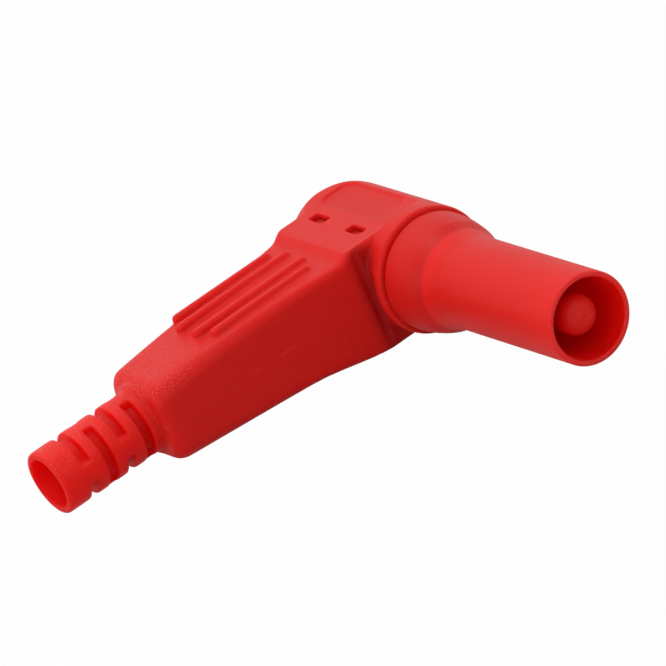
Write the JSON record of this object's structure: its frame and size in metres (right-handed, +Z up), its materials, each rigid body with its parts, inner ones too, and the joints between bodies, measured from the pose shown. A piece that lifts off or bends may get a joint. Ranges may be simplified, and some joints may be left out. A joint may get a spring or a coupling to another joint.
{
  "type": "banana plug",
  "caption": "Right-angled test plug with an insulating sleeve round its contact pin, a ribbed grip arm and a slotted strain relief for the cable.",
  "frame": {"origin": "on the plug axis, at the root of the straight sleeve, where a socket's rim stops", "axes": "+X along the plug axis out of the sleeve's mouth, -Y along the cable out of the strain relief, +Z up through the ribbed face as the plug lies on its side"},
  "size_m": [0.0468, 0.0474, 0.0124],
  "materials": {
    "grip_red": "fine moulded grain",
    "sleeve_red": "satin",
    "nickel": "nickel plated",
    "spring_brass": "bright",
    "tip_red": "satin"
  },
  "bodies": {
    "root": {"grip_housing": "grip_red", "shroud_sleeve": "sleeve_red", "plug_pin": "nickel", "contact_spring": "spring_brass", "tip_cap": "tip_red"}
  },
  "joints": []
}
